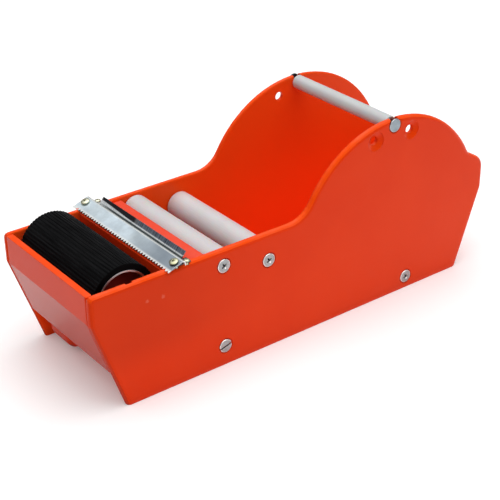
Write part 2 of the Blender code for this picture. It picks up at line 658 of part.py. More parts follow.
def tape_guide(material):
    """Flat sheet over the deck with screwed ears and a rear lip that flares up."""
    rear_x = GUIDE_SHEET_X + GUIDE_SHEET_DEPTH
    ear_x = GUIDE_SHEET_X + GUIDE_EAR_DEPTH
    half_lip = HALF_INNER - LIP_END_GAP
    half_notch = half_lip + SEAT_GAP
    outline = [
        (GUIDE_SHEET_X, -HALF_GUIDE_SHEET), (ear_x, -HALF_GUIDE_SHEET), (ear_x, -half_notch),
        (rear_x, -half_notch), (rear_x, half_notch), (ear_x, half_notch),
        (ear_x, HALF_GUIDE_SHEET), (GUIDE_SHEET_X, HALF_GUIDE_SHEET),
    ]
    sheet = prism("tape_guide", outline, GUIDE_SHEET_Z, GUIDE_SHEET_TOP_Z, material, upward=True)
    lip_x = rear_x - GUIDE_SHEET_THICKNESS
    lip_top = (lip_x + LIP_HEIGHT * tan(LIP_LEAN), GUIDE_SHEET_Z + LIP_HEIGHT)
    lip_outline = bent_strip([(lip_x, GUIDE_SHEET_Z), lip_top], GUIDE_SHEET_THICKNESS)
    lip = prism("lip", lip_outline, -half_lip, half_lip)
    combine(sheet, [lip], "UNION")
    holes = [small_hole(guide_screw_place(side), 0) for side in (-1, 1)]
    holes += [small_hole(blade_screw_place(side), BLADE_TILT) for side in (-1, 1)]
    combine(sheet, holes, "DIFFERENCE")
    return sheet


def blade_ridge():
    """Upper rear corner of the tear blade's leaf, on its lower face."""
    return (
        BLADE_FRONT_X + BLADE_LEAF_LENGTH * cos(BLADE_TILT),
        BLADE_Z + BLADE_LEAF_LENGTH * sin(BLADE_TILT),
    )


def tear_blade(material):
    """Toothed leaf that rises to a ridge, with a rear flange standing on the tape guide."""
    ridge_x, ridge_z = blade_ridge()
    foot = (ridge_x + (ridge_z - BLADE_FOOT_Z) * tan(BLADE_FLANGE_LEAN), BLADE_FOOT_Z)
    line = [foot, (ridge_x, ridge_z), (BLADE_FRONT_X, BLADE_Z)]
    outline = bent_strip(line, BLADE_THICKNESS)
    blade = prism("tear_blade", outline, -HALF_BLADE, HALF_BLADE, material)
    holes = [small_hole(blade_screw_place(side), BLADE_TILT) for side in (-1, 1)]
    combine(blade, [tooth_cutter()] + holes, "DIFFERENCE")
    return blade


def tooth_cutter():
    """Comb that cuts the gaps between the teeth out of the leaf's front edge."""
    first = TOOTH_RIGHT_MARGIN - HALF_BLADE
    reach = BLADE_THICKNESS * sin(BLADE_TILT)
    tip_x = BLADE_FRONT_X - reach + TOOTH_TIP_CUT
    valley_x = BLADE_FRONT_X + TOOTH_DEPTH
    outline = [(BLADE_FRONT_X - CUT_OVERRUN, first), (tip_x, first)]
    for index in range(TOOTH_COUNT):
        middle = first + TOOTH_PITCH * (index + 1 / 2)
        outline += [(valley_x, middle), (tip_x, middle + TOOTH_PITCH / 2)]
    outline.append((BLADE_FRONT_X - CUT_OVERRUN, first + TOOTH_PITCH * TOOTH_COUNT))
    return prism("comb", outline, BLADE_Z - CUT_OVERRUN, BLADE_Z + CUT_OVERRUN, upward=True)


def blade_screw_place(side):
    """Seat of a blade screw's head on the leaf's upper face, over a plate's edge."""
    along = BLADE_LEAF_LENGTH * BLADE_SCREW_SHARE
    lift = BLADE_THICKNESS + SEAT_GAP
    x = BLADE_FRONT_X + along * cos(BLADE_TILT) - lift * sin(BLADE_TILT)
    z = BLADE_Z + along * sin(BLADE_TILT) + lift * cos(BLADE_TILT)
    return (x, side * SMALL_SCREW_Y, z)


def guide_screw_place(side):
    """Seat of a guide screw's head on the ear, over a plate's edge."""
    return (GUIDE_SCREW_X, side * SMALL_SCREW_Y, GUIDE_SHEET_TOP_Z + SEAT_GAP)


def small_hole(place, tilt):
    """Cutter for a small screw's shank, from its head's seat down."""
    radius = SMALL_SCREW_RADIUS + SEAT_GAP
    depth = SMALL_SCREW_REACH + SEAT_GAP
    top = SMALL_SCREW_HEAD_HEIGHT
    profile = [(0, top), (radius, top), (radius, -depth), (0, -depth)]
    return turned("hole", profile, place, None, SMALL_ROUND_SIDES // 2, (pi / 2, -tilt, 0))


def small_screw(name, place, tilt, head, material):
    """Pan-headed screw that stands in a plate's top edge."""
    ease = SMALL_SCREW_HEAD_HEIGHT / 3
    profile = [
        (0, SMALL_SCREW_HEAD_HEIGHT), (head - ease, SMALL_SCREW_HEAD_HEIGHT),
        (head, SMALL_SCREW_HEAD_HEIGHT - ease), (head, 0), (SMALL_SCREW_RADIUS, 0),
        (SMALL_SCREW_RADIUS, -SMALL_SCREW_REACH), (0, -SMALL_SCREW_REACH),
    ]
    return turned(name, profile, place, material, SMALL_ROUND_SIDES // 2, (pi / 2, -tilt, 0))


def build():
    """Makes every piece of the dispenser."""
    clear_scene()
    body_plastic = make_material("body_plastic", (0.82, 0.07, 0.015), 0.18, 0)
    roller_plastic = make_material("roller_plastic", (0.8, 0.79, 0.77), 0.4, 0)
    rubber = make_material("rubber", (0.012, 0.012, 0.014), 0.65, 0)
    plug_plastic = make_material("plug_plastic", (0.3, 0.02, 0.02), 0.4, 0)
    steel = make_material("steel", (0.75, 0.76, 0.78), 0.3, 1)
    blade_steel = make_material("blade_steel", (0.72, 0.76, 0.79), 0.35, 1)
    zinc = make_material("zinc", (0.75, 0.71, 0.55), 0.35, 1)

    front_panel(body_plastic)
    tank_floor(body_plastic)
    deck_wall(body_plastic)
    roll_floor(body_plastic)
    rear_panel(body_plastic)

    wetting_sleeve(rubber)
    wetting_tube(steel)
    wetting_axle(steel)

    axle("guide_axle_front", GUIDE_X, GUIDE_Z, GUIDE_AXLE_RADIUS, steel)
    axle("guide_axle_rear", REAR_GUIDE_X, REAR_GUIDE_Z, GUIDE_AXLE_RADIUS, steel)
    axle("top_axle", HUMP_X, TOP_ROLLER_Z, TOP_AXLE_RADIUS, steel)
    guide = (GUIDE_RADIUS, GUIDE_AXLE_RADIUS, roller_plastic)
    plain_roller("guide_roller_front", GUIDE_X, GUIDE_Z, *guide)
    plain_roller("guide_roller_rear", REAR_GUIDE_X, REAR_GUIDE_Z, *guide)
    plain_roller("top_roller", HUMP_X, TOP_ROLLER_Z, TOP_ROLLER_RADIUS, TOP_AXLE_RADIUS, roller_plastic)

    tape_guide(blade_steel)
    tear_blade(blade_steel)

    in_axle = (ROLLER_SCREW_RADIUS, ROLLER_SCREW_REACH, steel)
    in_floor = (FLOOR_SCREW_RADIUS, FLOOR_SCREW_REACH, steel)
    for end, side in (("right", -1), ("left", 1)):
        side_plate("side_plate_" + end, side, body_plastic)
        wetting_plug("wetting_plug_" + end, side, plug_plastic)
        side_screw("front_roller_screw_" + end, GUIDE_X, GUIDE_Z, side, *in_axle)
        side_screw("rear_roller_screw_" + end, REAR_GUIDE_X, REAR_GUIDE_Z, side, *in_axle)
        side_screw("top_roller_screw_" + end, HUMP_X, TOP_ROLLER_Z, side, *in_axle)
        side_screw("floor_front_screw_" + end, *FLOOR_SCREW_PLACES[0], side, *in_floor)
        side_screw("floor_rear_screw_" + end, *FLOOR_SCREW_PLACES[1], side, *in_floor)
        on_blade = (blade_screw_place(side), BLADE_TILT, BLADE_SCREW_HEAD_RADIUS)
        small_screw("blade_screw_" + end, *on_blade, zinc)
        on_guide = (guide_screw_place(side), 0, GUIDE_SCREW_HEAD_RADIUS)
        small_screw("guide_screw_" + end, *on_guide, zinc)


build()
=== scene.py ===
"""Looks of the gummed tape dispenser: finishes, ribbed sleeve, toothed blade, screws, light."""

import json
from math import cos, pi, radians, sin, sqrt, tan

import bmesh
import bpy
from mathutils import Matrix, Vector


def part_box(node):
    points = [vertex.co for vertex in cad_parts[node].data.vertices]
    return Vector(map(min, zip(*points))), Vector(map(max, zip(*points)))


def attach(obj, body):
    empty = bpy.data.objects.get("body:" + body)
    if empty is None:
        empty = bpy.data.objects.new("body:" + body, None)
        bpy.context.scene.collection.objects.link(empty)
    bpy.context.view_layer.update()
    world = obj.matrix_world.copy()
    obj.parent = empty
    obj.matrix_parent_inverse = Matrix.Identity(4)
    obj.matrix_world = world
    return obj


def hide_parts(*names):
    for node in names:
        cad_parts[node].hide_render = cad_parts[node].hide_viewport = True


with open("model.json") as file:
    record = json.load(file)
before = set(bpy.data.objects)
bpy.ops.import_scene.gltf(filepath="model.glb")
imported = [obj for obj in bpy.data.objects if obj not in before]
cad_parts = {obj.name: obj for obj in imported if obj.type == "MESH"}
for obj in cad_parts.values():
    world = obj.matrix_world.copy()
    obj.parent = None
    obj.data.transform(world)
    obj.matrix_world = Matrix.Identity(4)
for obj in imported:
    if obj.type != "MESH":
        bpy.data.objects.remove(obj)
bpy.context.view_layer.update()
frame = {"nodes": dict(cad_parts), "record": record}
nodes = frame["nodes"]

# Camera
CAMERA_PLACE = (-0.52054, -0.68259, 0.51520)
CAMERA_YAW = radians(-37.378)
CAMERA_PITCH = radians(28.417)
CAMERA_ROLL = radians(-0.506)
CAMERA_LENS = 92.433
CAMERA_SHIFT = (-0.01638, -0.01846)

# Sizes of the detailed pieces, which keep to their CAD nodes
RIB_COUNT = 60
RIB_STEPS = 8
RIB_GROOVE = 0.0004
RIB_GROOVE_SHARE = 0.5
RIB_CREST = 0.0001
SLEEVE_EASE = 0.0005
SLEEVE_PLAY = 0.0002
SLEEVE_BORE_SIDES = 96
BLADE_THICKNESS = 0.0008
BLADE_LEAF = 0.0139
BLADE_TILT = radians(19)
BLADE_FLANGE_LEAN = radians(12)
BLADE_BEND_ROUND = 0.0009
BLADE_FOOT_LIFT = 0.0011
BLADE_FRONT_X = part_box("tear_blade")[0].x
BLADE_RIDGE_X = BLADE_FRONT_X + BLADE_LEAF * cos(BLADE_TILT)
LIP_TOP_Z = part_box("tape_guide")[1].z
HEAD_TOP_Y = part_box("front_roller_screw_left")[1].y
LIP_REFLECTION_Z = LIP_TOP_Z - 0.0031
LIP_SHADE_Z = LIP_TOP_Z - 0.0036
SEAT_GAP = 0.0003
TOOTH_PITCH = 0.00304
TOOTH_COUNT = 39
TOOTH_DEPTH = 0.0019
TOOTH_ROOT = 0.0004
TOOTH_RIGHT_MARGIN = 0.0004

# Side screws: the head, (reach, shank radius), recesses as (arm, width, depth), and the
# degrees by which one may be turned further than the next
SCREW_HEAD_RADIUS = 0.0052
SCREW_HEAD_RIM = 0.0006
SCREW_HEAD_EASE = 0.0005
SCREW_CONE_HEIGHT = 0.0018
ROLLER_SCREW = (0.0125, 0.0025)
FLOOR_SCREW = (0.0165, 0.0015)
CROSS_RECESS = (0.0029, 0.0011, 0.0022)
SLOT_RECESS = (0.0060, 0.0011, 0.0015)
NO_RECESS = (0, 0, 0)
RECESS_ABOVE = 0.001
TURN_PLAY = 4
SCREW_SIDES = 32

# Small screws of the blade and the guide: recess as (width, depth, height above)
SMALL_SCREW_HEIGHT = 0.0012
SMALL_SCREW_CAD_HEIGHT = 0.0015
SMALL_SCREW_SHANK = 0.0011
SMALL_SCREW_REACH = 0.009
SMALL_RECESS = (0.0008, 0.0004, 0.003)
BLADE_SCREW_HEAD = 0.0033
GUIDE_SCREW_HEAD = 0.0022

# Zones of the body's plastic, as the limits between which each fades in
FRONT_ZONE_X = (-0.09, -0.11)
REAR_ZONE_X = (0.10, 0.12)
SHADED_ZONE_X = (-0.02, -0.14)
SHADED_ZONE_Z = (0.02, 0.05)
FRONT_RIM_X = (-0.160, -0.164)
PLATE_RIM_Y = (0.0539, 0.0545)
DECK_SIDE_Y = (0.0545, 0.0538)
DECK_FRONT_X = (-0.12, -0.115)
DECK_REAR_X = (-0.05, -0.07)
SCUFFS = (((-0.1370, -0.0590, 0.0761), 0.0014), ((-0.1244, -0.0590, 0.0752), 0.0016))

# Studio
TABLE_HALF = 3.0
TABLE_GLOW = 0.14
SKY_BAND = (0.42, 0.95)
SKY_LIGHT = (0.17, 1.75)
SOFTBOX_PLACE = (0.1, -0.2, 1.4)
SOFTBOX_TARGET = (0, 0, 0.05)
SOFTBOX_SIZE = (1.2, 1.0)
SOFTBOX_WATTS = 4


# ---------------------------------------------------------------- node webs

class Web:
    """Adds nodes to a tree and joins them up."""

    def __init__(self, tree):
        self.tree = tree

    def feed(self, socket, value):
        """Links a socket into an input, or sets the input's plain value."""
        if isinstance(value, bpy.types.NodeSocket):
            self.tree.links.new(value, socket)
        else:
            socket.default_value = value

    def add(self, kind, inputs=None, output=0, **settings):
        """One node with its settings and inputs, and the socket that it gives."""
        node = self.tree.nodes.new(kind)
        for name, value in settings.items():
            setattr(node, name, value)
        for key, value in (inputs or {}).items():
            self.feed(node.inputs[key], value)
        return node if output is None else node.outputs[output]

    def math(self, operation, *values, clamp=False):
        """What an operation makes of one, two or three values."""
        inputs = dict(enumerate(values))
        return self.add("ShaderNodeMath", inputs, operation=operation, use_clamp=clamp)

    def remap(self, value, low, high, to_low=0.0, to_high=1.0):
        """Maps one range of a value onto another, smoothly and no further."""
        inputs = {0: value, 1: low, 2: high, 3: to_low, 4: to_high}
        return self.add("ShaderNodeMapRange", inputs, interpolation_type="SMOOTHSTEP")

    def mix(self, share, first, second):
        """A colour between two."""
        inputs = {0: share, 6: first, 7: second}
        return self.add("ShaderNodeMix", inputs, 2, data_type="RGBA")

    def blend(self, share, first, second):
        """A number between two."""
        return self.add("ShaderNodeMix", {0: share, 2: first, 3: second})

    def same(self, first, second):
        """Whether two whole numbers are the same."""
        inputs = {2: first, 3: second}
        return self.add("FunctionNodeCompare", inputs, data_type="INT", operation="EQUAL")

    def pick(self, index, values):
        """The value of a list that an index names."""
        node = self.add("GeometryNodeIndexSwitch", output=None, data_type="FLOAT")
        while len(node.index_switch_items) < len(values):
            node.index_switch_items.new()
        self.tree.links.new(index, node.inputs[0])
        for place, value in enumerate(values):
            self.feed(node.inputs[place + 1], value)
        return node.outputs[0]


FLOAT, VECTOR = "NodeSocketFloat", "NodeSocketVector"
WHOLE, GEOMETRY, THING = "NodeSocketInt", "NodeSocketGeometry", "NodeSocketObject"
MATERIAL = "NodeSocketMaterial"


def new_group(name, kind, inputs, outputs):
    """A node group with named sockets, its web and the sockets of its inputs."""
    tree = bpy.data.node_groups.new(name, kind)
    for label, socket_kind, value in inputs:
        socket = tree.interface.new_socket(label, in_out="INPUT", socket_type=socket_kind)
        if value is not None:
            socket.default_value = value
    for label, socket_kind in outputs:
        tree.interface.new_socket(label, in_out="OUTPUT", socket_type=socket_kind)
    web = Web(tree)
    given = web.add("NodeGroupInput", output=None)
    return tree, web, given.outputs


def give(web, **values):
    """Ends a group with what it puts out."""
    outputs = {name.replace("_", " ").capitalize(): value for name, value in values.items()}
    web.add("NodeGroupOutput", outputs, None)


# ------------------------------------------------------------ shared effects

def cloudy_group():
    """Soft blotches and fine grain, each from 0 to 1."""
    tree, web, given = new_group("cloudy_and_grain", "ShaderNodeTree", [
        ("Vector", VECTOR, None), ("Cloud scale", FLOAT, 30.0), ("Grain scale", FLOAT, 900.0),
    ], [("Cloud", FLOAT), ("Grain", FLOAT)])
    cloud = web.add("ShaderNodeTexNoise", {
        "Vector": given[0], "Scale": given[1], "Detail": 3.0, "Roughness": 0.55,
    })
    grain = web.add("ShaderNodeTexNoise", {
        "Vector": given[0], "Scale": given[2], "Detail": 2.0, "Roughness": 0.6,
    })
    give(web, cloud=web.remap(cloud, 0.3, 0.7), grain=web.remap(grain, 0.25, 0.75))
    return tree


def edge_wear_group():
    """Wear along edges, and the edges themselves, from how far the rounded normal leaves the true
    one.
    """
    tree, web, given = new_group("edge_wear", "ShaderNodeTree", [
        ("Vector", VECTOR, None), ("Rounded normal", VECTOR, None),
        ("Reach", FLOAT, 0.2), ("Break up", FLOAT, 120.0),
    ], [("Wear", FLOAT), ("Edge", FLOAT)])
    flat = web.add("ShaderNodeNewGeometry", output="Normal")
    bend = web.add("ShaderNodeVectorMath", {0: given[1], 1: flat}, "Value", operation="DOT_PRODUCT")
    edge = web.remap(bend, 1.0, web.math("SUBTRACT", 1.0, given[2]))
    noise = web.add("ShaderNodeTexNoise", {"Vector": given[0], "Scale": given[3], "Detail": 4.0})
    give(web, wear=web.math("MULTIPLY", edge, web.remap(noise, 0.48, 0.62)), edge=edge)
    return tree


def dust_group():
    """Fine dust that settles on faces that look up."""
    tree, web, given = new_group("settled_dust", "ShaderNodeTree", [
        ("Vector", VECTOR, None), ("Amount", FLOAT, 0.2), ("Speck scale", FLOAT, 700.0),
    ], [("Dust", FLOAT)])
    normal = web.add("ShaderNodeNewGeometry", output="Normal")
    up = web.add("ShaderNodeSeparateXYZ", {0: normal}, 2)
    specks = web.add("ShaderNodeTexVoronoi", {"Vector": given[0], "Scale": given[2]})
    noise = web.add("ShaderNodeTexNoise", {"Vector": given[0], "Scale": 60.0, "Detail": 3.0})
    lying = web.math("MULTIPLY", web.remap(up, 0.2, 0.9), web.remap(noise, 0.35, 0.75))
    dotted = web.math("MULTIPLY", lying, web.remap(specks, 0.35, 0.05))
    give(web, dust=web.math("MULTIPLY", web.math("ADD", lying, dotted), given[1], clamp=True))
    return tree


def streak_group():
    """Fine lines stretched along one direction, such as brushing or turning marks."""
    tree, web, given = new_group("fine_streaks", "ShaderNodeTree", [
        ("Vector", VECTOR, None), ("Stretch", VECTOR, (40.0, 2.0, 40.0)), ("Scale", FLOAT, 40.0),
    ], [("Streak", FLOAT)])
    along = web.add("ShaderNodeVectorMath", {0: given[0], 1: given[1]}, operation="MULTIPLY")
    noise = web.add("ShaderNodeTexNoise", {"Vector": along, "Scale": given[2], "Detail": 3.0})
    give(web, streak=web.remap(noise, 0.3, 0.7))
    return tree


CLOUDY, WEAR, DUST, STREAKS = cloudy_group(), edge_wear_group(), dust_group(), streak_group()


# ----------------------------------------------------------------- finishes

class Finish:
    """A material under construction: its web, its shader and the object coordinates."""

    def __init__(self, name, **constants):
        self.material = bpy.data.materials.new(name)
        self.material.use_nodes = True
        self.web = Web(self.material.node_tree)
        self.shader = self.material.node_tree.nodes["Principled BSDF"]
        for key, value in constants.items():
            self.shader.inputs[key.replace("_", " ")].default_value = value
        self.place = self.web.add("ShaderNodeTexCoord", output="Object")

    def group(self, tree, inputs, output=0):
        """An effect's node, fed with the object coordinates."""
        node = self.web.add("ShaderNodeGroup", output=None, node_tree=tree)
        for key, value in {"Vector": self.place, **inputs}.items():
            self.web.feed(node.inputs[key], value)
        return node.outputs if output is None else node.outputs[output]

    def rounded(self, radius):
        """The normal as if the edges were rounded off."""
        return self.web.add("ShaderNodeBevel", {"Radius": radius}, samples=4)

    def set(self, key, socket):
        """Feeds one of the shader's inputs."""
        self.web.tree.links.new(socket, self.shader.inputs[key])

    def relief(self, height, strength, distance, normal=None):
        """Bump from a height, over an optional normal."""
        inputs = {"Height": height, "Strength": strength, "Distance": distance}
        if normal is not None:
            inputs["Normal"] = normal
        self.set("Normal", self.web.add("ShaderNodeBump", inputs))


def orange_plastic():
    """Glossy moulded orange plastic with a faint uneven skin, scuffs and dust.

    The faces inside the bay get a painted bounce light, the upper rims a painted highlight,
    and the front panel and the front of the side plates' outer faces painted shade.
    """
    finish = Finish("orange_gloss_plastic", Specular_Tint=(1.0, 0.25, 0.08, 1))
    web = finish.web
    normal = web.add("ShaderNodeNewGeometry", output="True Normal")
    facing = web.add("ShaderNodeSeparateXYZ", {0: normal}, None).outputs
    spot = web.add("ShaderNodeSeparateXYZ", {0: finish.place}, None).outputs
    forward = web.remap(facing[0], -0.35, -0.75)
    front = web.math("MULTIPLY", forward, web.remap(spot[0], *FRONT_ZONE_X))
    under = web.math("MULTIPLY", front, web.remap(facing[2], -0.1, -0.4))
    # Mask for a painted bounce light on the faces inside the bay and the rear faces that look
    # forward.
    inward = web.remap(web.math("MULTIPLY", spot[1], facing[1]), -0.03, -0.05)
    hollow = web.math("MULTIPLY", forward, web.remap(spot[0], *REAR_ZONE_X))
    hollow = web.math("MAXIMUM", inward, hollow)
    outward = web.math("MULTIPLY", web.math("SIGN", spot[1]), facing[1])
    # Mask for a painted highlight on the rounded upper rims.
    eased = web.math("MULTIPLY", web.remap(outward, 0.97, 0.85), web.remap(outward, 0.1, 0.3))
    eased = web.math("MULTIPLY", eased, web.remap(facing[2], 0.0, 0.3))
    rims = web.remap(web.math("ABSOLUTE", spot[1]), *PLATE_RIM_Y)
    rims = web.math("MAXIMUM", rims, web.remap(spot[0], *FRONT_RIM_X))
    eased = web.math("MAXIMUM", eased, web.math("MULTIPLY", rims, web.remap(facing[2], 0.5, 0.8)))
    shaded = web.math("MULTIPLY", web.remap(outward, 0.9, 0.98), web.remap(spot[0], *SHADED_ZONE_X))
    shaded = web.math("MULTIPLY", shaded, web.remap(spot[2], *SHADED_ZONE_Z))
    decked = web.math("MULTIPLY", web.remap(facing[2], 0.9, 0.98), web.remap(spot[0], *DECK_REAR_X))
    decked = web.math("MULTIPLY", decked, web.remap(web.math("ABSOLUTE", spot[1]), *DECK_SIDE_Y))
    decked = web.math("MULTIPLY", decked, web.remap(spot[0], *DECK_FRONT_X))
    cloudy = finish.group(CLOUDY, {"Cloud scale": 9.0, "Grain scale": 700.0}, None)
    rounded = finish.rounded(0.0007)
    wear_and_edge = finish.group(WEAR, {"Rounded normal": rounded, "Reach": 0.25, "Break up": 160.0}, None)
    dust = finish.group(DUST, {"Amount": 0.05})
    colour = web.mix(cloudy[0], (0.84, 0.038, 0.0022, 1), (0.89, 0.047, 0.0036, 1))
    # Painted bounce light: those faces are a brighter orange.
    colour = web.mix(hollow, colour, (1.0, 0.085, 0.008, 1))
    # Painted highlight: the rims are a lighter orange.
    colour = web.mix(web.math("MULTIPLY", eased, 0.6), colour, (1.0, 0.085, 0.002, 1))
    # A paler tone on the deck's upward faces.
    deck_pale = web.math("MULTIPLY", decked, web.remap(cloudy[0], 0.0, 1.0, 0.04, 0.10))
    colour = web.mix(deck_pale, colour, (0.62, 0.48, 0.46, 1))
    # Painted shade: the front panel, its underside and the front of the side plates' outer faces are
    # darkened.
    painted_shade = web.math("ADD", web.math("MULTIPLY", under, 0.30), web.math("MULTIPLY", front, 0.20))
    painted_shade = web.math("ADD", painted_shade, web.math("MULTIPLY", shaded, 0.15))
    colour = web.mix(painted_shade, colour, (0.02, 0.004, 0.005, 1))
    for middle, size in SCUFFS:
        ends = {0: finish.place, 1: middle}
        away = web.add("ShaderNodeVectorMath", ends, "Value", operation="DISTANCE")
        ragged = web.math("ADD", away, web.math("MULTIPLY", cloudy[1], size * 0.8))
        mark = web.math("MULTIPLY", web.remap(ragged, size * 1.6, size * 0.6), 0.2)
        colour = web.mix(mark, colour, (0.95, 0.42, 0.30, 1))
    colour = web.mix(web.math("MULTIPLY", wear_and_edge[0], 0.25), colour, (0.95, 0.14, 0.04, 1))
    finish.set("Base Color", web.mix(dust, colour, (0.75, 0.55, 0.45, 1)))
    rough = web.blend(cloudy[0], 0.20, 0.27)
    finish.set("Roughness", web.math("ADD", rough, web.math("MULTIPLY", wear_and_edge[0], 0.25)))
    finish.set("Specular IOR Level", web.blend(front, 0.36, 0.19))
    finish.relief(cloudy[1], 0.03, 0.0004, rounded)
    return finish.material


def ribbed_rubber():
    """Black rubber, matt in the grooves and a little polished on the crests."""
    finish = Finish("black_ribbed_rubber", Specular_IOR_Level=0.035)
    web = finish.web
    low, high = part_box("wetting_sleeve")
    middle, radius = (low + high) / 2, (high.x - low.x) / 2
    away = web.add("ShaderNodeVectorMath", {0: finish.place, 1: tuple(middle)}, operation="SUBTRACT")
    away = web.add("ShaderNodeVectorMath", {0: away, 1: (1.0, 0.0, 1.0)}, operation="MULTIPLY")
    reach = web.add("ShaderNodeVectorMath", {0: away}, "Value", operation="LENGTH")
    cloudy = finish.group(CLOUDY, {"Cloud scale": 45.0, "Grain scale": 1500.0}, None)
    rubbed = finish.group(STREAKS, {"Stretch": (60.0, 3.0, 60.0), "Scale": 14.0})
    crest = web.math("MULTIPLY", web.remap(reach, radius - RIB_GROOVE, radius - RIB_CREST), rubbed)
    dust = finish.group(DUST, {"Amount": 0.015, "Speck scale": 1200.0})
    colour = web.mix(cloudy[0], (0.0010, 0.0010, 0.0013, 1), (0.0020, 0.0020, 0.0024, 1))
    colour = web.mix(crest, colour, (0.0060, 0.0060, 0.0068, 1))
    finish.set("Base Color", web.mix(dust, colour, (0.12, 0.12, 0.12, 1)))
    finish.set("Roughness", web.blend(crest, 0.60, 0.38))
    finish.relief(cloudy[1], 0.25, 0.0003)
    return finish.material


def white_plastic():
    """Satin white plastic of the guide rollers, with faint turning marks and a painted highlight on
    the rims.
    """
    finish = Finish("white_satin_plastic", Subsurface_Weight=0.3, Subsurface_Scale=0.008)
    web = finish.web
    cloudy = finish.group(CLOUDY, {"Cloud scale": 25.0, "Grain scale": 1200.0}, None)
    streak = finish.group(STREAKS, {"Stretch": (1.0, 60.0, 1.0), "Scale": 30.0})
    rounded = finish.rounded(0.0008)
    wear_and_edge = finish.group(WEAR, {"Rounded normal": rounded, "Reach": 0.2, "Break up": 260.0}, None)
    dust = finish.group(DUST, {"Amount": 0.08})
    colour = web.mix(cloudy[0], (0.59, 0.565, 0.57, 1), (0.62, 0.60, 0.605, 1))
    # Painted highlight: the rollers' edges are lighter.
    colour = web.mix(web.math("MULTIPLY", wear_and_edge[1], 0.6), colour, (0.84, 0.80, 0.79, 1))
    finish.set("Base Color", web.mix(dust, colour, (0.42, 0.38, 0.35, 1)))
    finish.set("Roughness", web.blend(streak, 0.30, 0.42))
    finish.relief(streak, 0.05, 0.0002, rounded)
    return finish.material


def brushed_metal(name, dull, bright, stretch, rough):
    """Bare or plated metal with streaks along one direction and soft blotches."""
    finish = Finish(name, Metallic=1.0)
    web = finish.web
    cloudy = finish.group(CLOUDY, {"Cloud scale": 55.0, "Grain scale": 1600.0}, None)
    streak = finish.group(STREAKS, {"Stretch": stretch, "Scale": 45.0})
    rounded = finish.rounded(0.0003)
    wear_and_edge = finish.group(WEAR, {"Rounded normal": rounded, "Reach": 0.2, "Break up": 300.0}, None)
    colour = web.mix(cloudy[0], (*dull, 1), (*bright, 1))
    colour = web.mix(web.math("MULTIPLY", wear_and_edge[1], 0.4), colour, (0.92, 0.93, 0.94, 1))
    finish.set("Base Color", colour)
    brushed = web.blend(streak, rough, rough + 0.12)
    finish.set("Roughness", web.math("ADD", brushed, web.math("MULTIPLY", cloudy[1], 0.05)))
    finish.relief(streak, 0.06, 0.0002, rounded)
    return finish.material


def axis_of(finish, index):
    """One of the object coordinates."""
    return finish.web.add("ShaderNodeSeparateXYZ", {0: finish.place}, index)


def blade_steel():
    """Bare sheet steel, bluish and cloudy, with a painted darker reflection towards its right end
    and a painted highlight along its ridge.
    """
    finish = Finish("bare_blade_steel", Metallic=1.0)
    web = finish.web
    cloudy = finish.group(CLOUDY, {"Cloud scale": 75.0, "Grain scale": 1600.0}, None)
    broad = finish.group(CLOUDY, {"Cloud scale": 22.0, "Grain scale": 350.0}, None)
    streak = finish.group(STREAKS, {"Stretch": (60.0, 1.5, 60.0), "Scale": 45.0})
    rounded = finish.rounded(0.0003)
    wear_and_edge = finish.group(WEAR, {"Rounded normal": rounded, "Reach": 0.12, "Break up": 300.0}, None)
    colour = web.mix(cloudy[0], (0.56, 0.65, 0.71, 1), (0.80, 0.92, 1.0, 1))
    colour = web.mix(web.math("MULTIPLY", broad[0], 0.35), colour, (0.62, 0.66, 0.62, 1))
    # Painted darker reflection towards the blade's right end.
    painted_dim_reflection = web.remap(axis_of(finish, 1), 0.01, -0.045)
    colour = web.mix(web.math("MULTIPLY", painted_dim_reflection, 0.8), colour, (0.19, 0.225, 0.27, 1))
    # A lighter band along the toothed front edge, and a painted highlight along the ridge.
    bright_bands = web.remap(axis_of(finish, 0), BLADE_FRONT_X + 0.0032, BLADE_FRONT_X + 0.0012)
    ridge = web.remap(axis_of(finish, 0), BLADE_RIDGE_X - 0.0014, BLADE_RIDGE_X - 0.0008)
    bright_bands = web.math("MAXIMUM", bright_bands, ridge)
    colour = web.mix(web.math("MULTIPLY", bright_bands, 0.8), colour, (0.98, 1.0, 0.97, 1))
    colour = web.mix(web.math("MULTIPLY", wear_and_edge[1], 0.8), colour, (0.97, 0.98, 0.98, 1))
    finish.set("Base Color", colour)
    rough = web.math("ADD", web.blend(streak, 0.30, 0.42), web.math("MULTIPLY", cloudy[1], 0.05))
    finish.set("Roughness", rough)
    finish.relief(streak, 0.06, 0.0002, rounded)
    return finish.material


